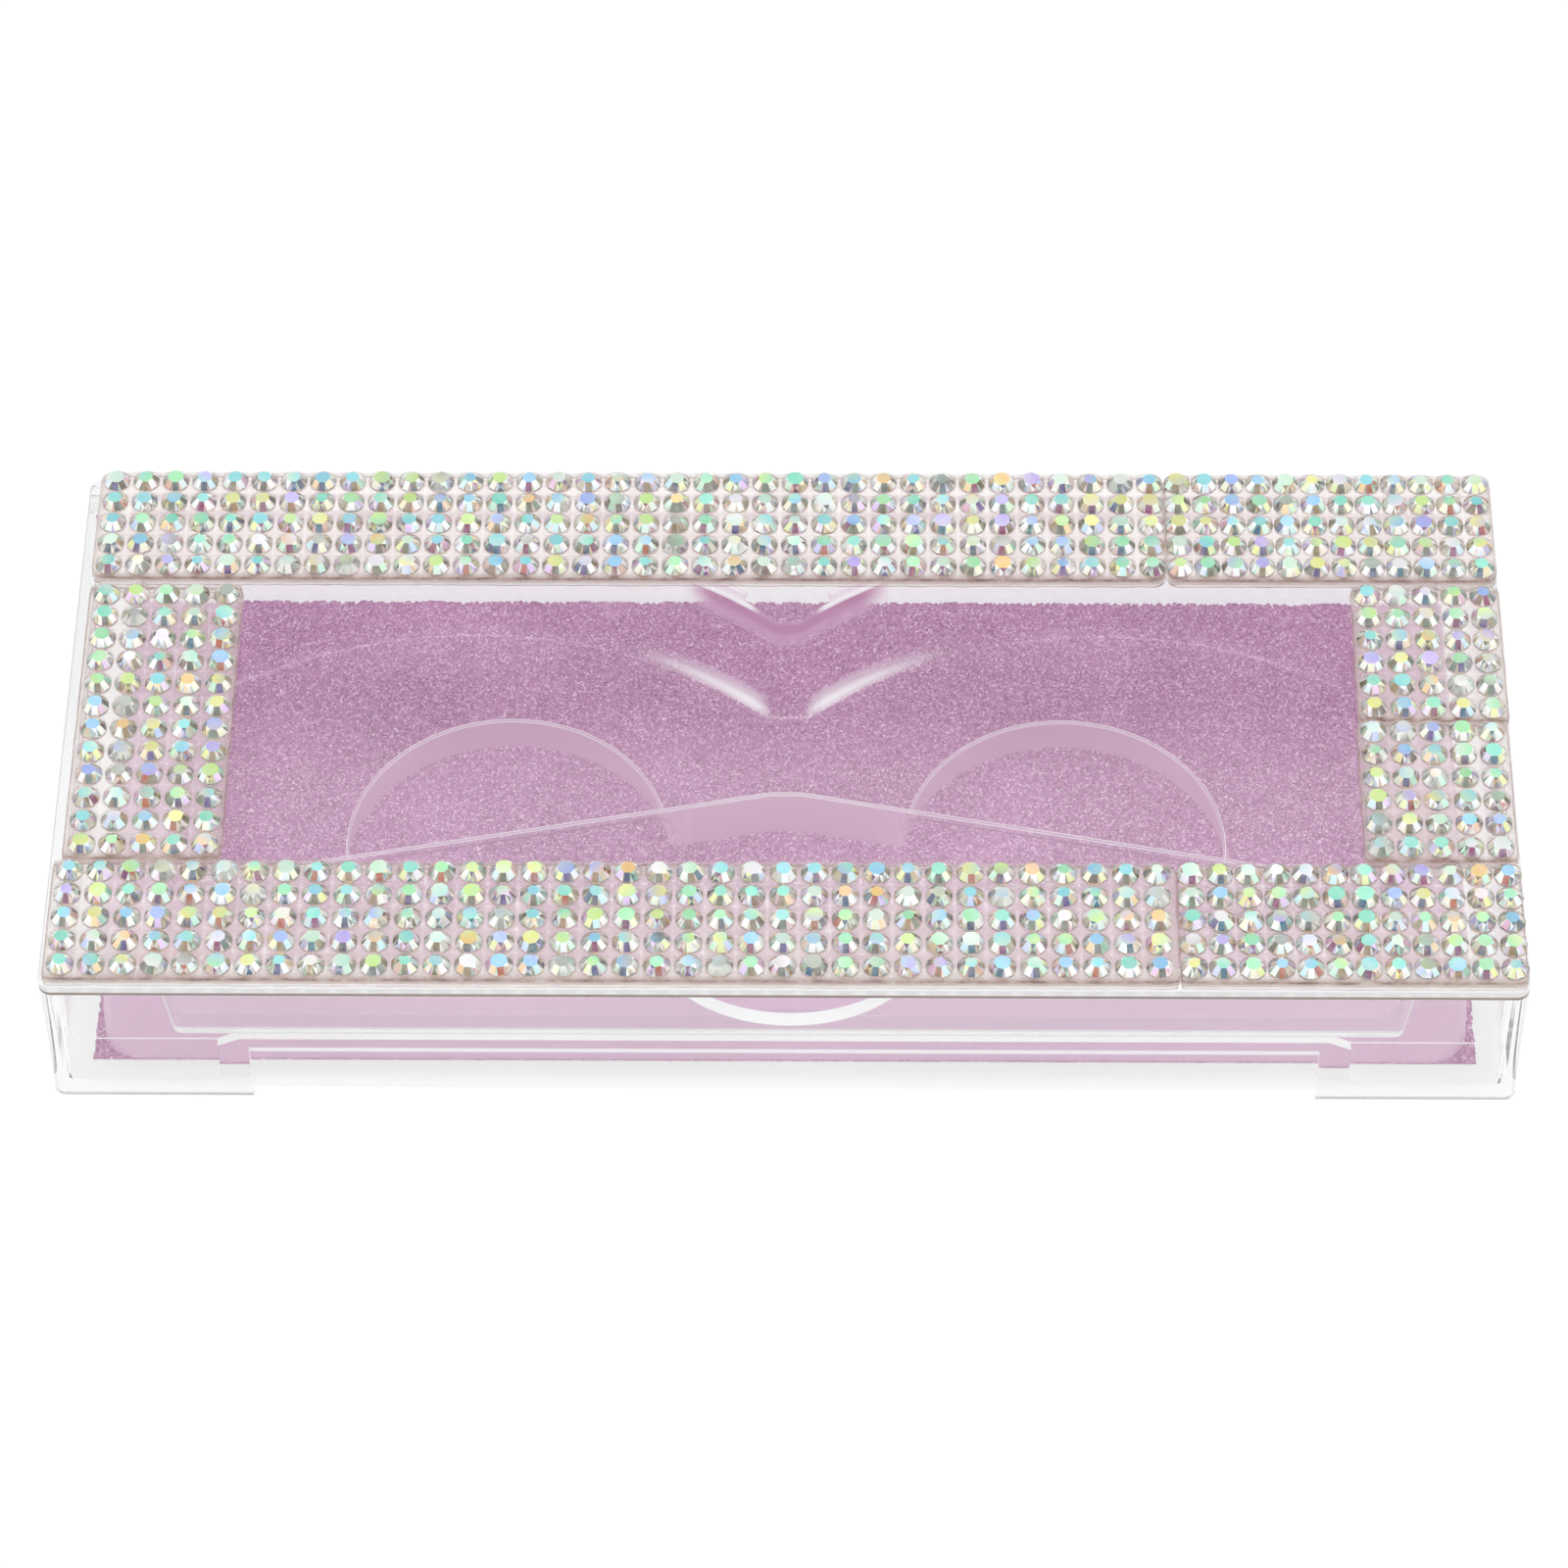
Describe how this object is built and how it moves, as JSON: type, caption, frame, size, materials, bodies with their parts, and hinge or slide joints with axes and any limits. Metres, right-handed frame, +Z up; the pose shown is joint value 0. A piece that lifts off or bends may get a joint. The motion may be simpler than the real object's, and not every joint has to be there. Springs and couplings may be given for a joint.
{
  "type": "false eyelash case",
  "caption": "Clear hinged false eyelash case with a glitter card, a formed tray with twin lash platforms and rhinestone banding round its lid.",
  "frame": {"origin": "middle of the bounding box at its base, the plane the case stands on", "axes": "+X along the width, to the right as seen from the front; -Y towards the front with the thumb notch, +Y towards the hinge; +Z up"},
  "size_m": [0.11, 0.0504, 0.0149],
  "materials": {
    "clear_case": "clear moulded polystyrene",
    "clear_lid": "clear moulded polystyrene",
    "clear_film": "clear vacuum-formed sheet",
    "glitter_card": "fine lilac glitter on card",
    "band_resin": "clear resin carrier",
    "adhesive": "hot-melt adhesive",
    "crystal": "faceted, iridescent coating"
  },
  "bodies": {
    "base": {"case_base": "clear_case", "glitter_card": "glitter_card", "lash_tray": "clear_film"},
    "lid": {"lid": "clear_lid", "band_back_long": "band_resin", "band_back_short": "band_resin", "band_left": "band_resin", "band_right_rear": "band_resin", "band_right_front": "band_resin", "band_front_long": "band_resin", "band_front_short": "band_resin", "stones_back_long": "crystal", "stones_back_short": "crystal", "stones_left": "crystal", "stones_right_rear": "crystal", "stones_right_front": "crystal", "stones_front_long": "crystal", "stones_front_short": "crystal", "glue_back_long": "adhesive", "glue_back_short": "adhesive", "glue_left": "adhesive", "glue_right_rear": "adhesive", "glue_right_front": "adhesive", "glue_front_long": "adhesive", "glue_front_short": "adhesive"}
  },
  "joints": [
    {"name": "lid_hinge", "type": "hinge", "parent": "base", "child": "lid", "pos_m": [0, 0.0235, 0.0107], "axis": [-1, 0, 0], "range_deg": [0, 110]}
  ]
}
